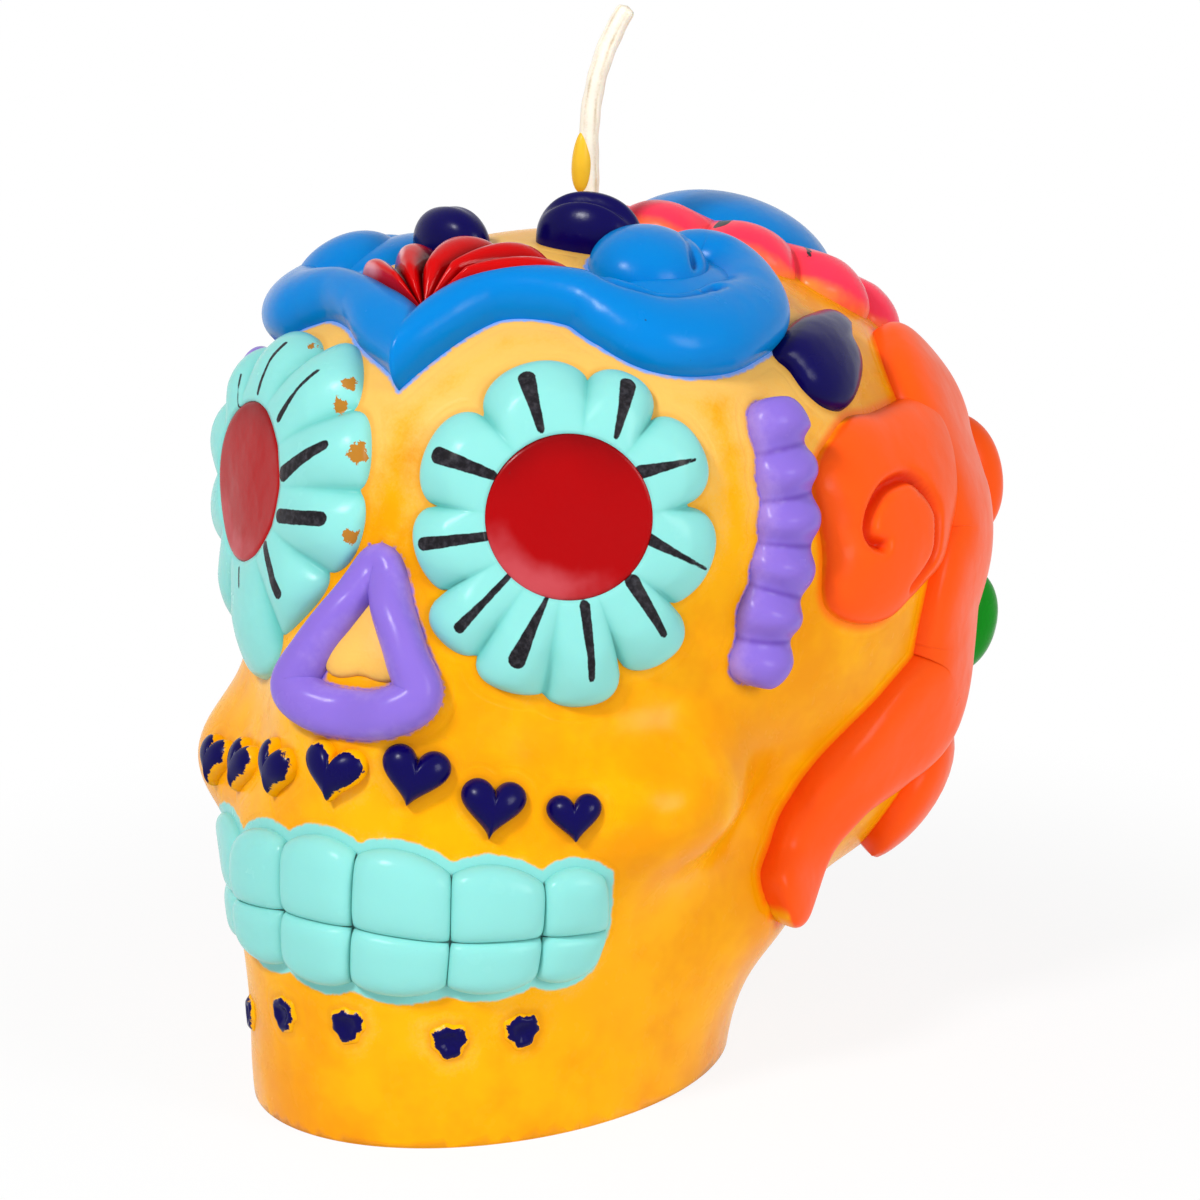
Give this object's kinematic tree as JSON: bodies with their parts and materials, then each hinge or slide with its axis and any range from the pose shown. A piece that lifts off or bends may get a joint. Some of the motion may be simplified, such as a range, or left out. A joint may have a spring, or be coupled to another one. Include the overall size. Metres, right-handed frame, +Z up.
{
  "type": "sugar skull candle",
  "caption": "Cast wax candle in the shape of a sugar skull, with raised painted flowers round the eyes, teeth, brow scroll, crown and back flowers, and a bent cotton wick.",
  "frame": {"origin": "middle of the flat base that the candle stands on", "axes": "+Z up, -Y out of the face, +X towards the skull's own left"},
  "size_m": [0.0742, 0.0997, 0.1033],
  "materials": {
    "yellow_wax": "satin",
    "blue_wax": "satin",
    "mint_wax": "satin",
    "purple_wax": "satin",
    "navy_wax": "satin",
    "red_wax": "gloss",
    "orange_wax": "satin",
    "pink_wax": "satin",
    "green_wax": "satin",
    "cotton": "matte",
    "tinned_steel": "satin"
  },
  "bodies": {
    "root": {"skull_body": "yellow_wax", "wick": "cotton", "wick_tab": "tinned_steel", "wick_drip": "yellow_wax", "left_eye_petals": "mint_wax", "right_eye_petals": "mint_wax", "left_eye_disc": "red_wax", "right_eye_disc": "red_wax", "nose_triangle": "purple_wax", "lip_heart_1": "navy_wax", "lip_heart_2": "navy_wax", "lip_heart_3": "navy_wax", "lip_heart_4": "navy_wax", "lip_heart_5": "navy_wax", "lip_heart_6": "navy_wax", "lip_heart_7": "navy_wax", "upper_tooth_1": "mint_wax", "upper_tooth_2": "mint_wax", "upper_tooth_3": "mint_wax", "upper_tooth_4": "mint_wax", "upper_tooth_5": "mint_wax", "upper_tooth_6": "mint_wax", "lower_tooth_1": "mint_wax", "lower_tooth_2": "mint_wax", "lower_tooth_3": "mint_wax", "lower_tooth_4": "mint_wax", "lower_tooth_5": "mint_wax", "lower_tooth_6": "mint_wax", "chin_dot_1": "navy_wax", "chin_dot_2": "navy_wax", "chin_dot_3": "navy_wax", "chin_dot_4": "navy_wax", "chin_dot_5": "navy_wax", "brow_scroll": "blue_wax", "forehead_fan": "red_wax", "left_crown_leaf": "navy_wax", "right_crown_leaf": "navy_wax", "left_temple_leaf": "navy_wax", "right_temple_leaf": "navy_wax", "left_temple_beads": "purple_wax", "right_temple_beads": "purple_wax", "left_side_scroll": "orange_wax", "right_side_scroll": "orange_wax", "left_side_band": "orange_wax", "right_side_band": "orange_wax", "crown_flower_petals": "pink_wax", "crown_flower_dome": "blue_wax", "back_flower_petals": "orange_wax", "back_flower_dome": "blue_wax", "left_back_bud": "orange_wax", "right_back_bud": "orange_wax", "left_back_leaf": "green_wax", "right_back_leaf": "green_wax", "nape_band": "orange_wax"}
  },
  "joints": []
}
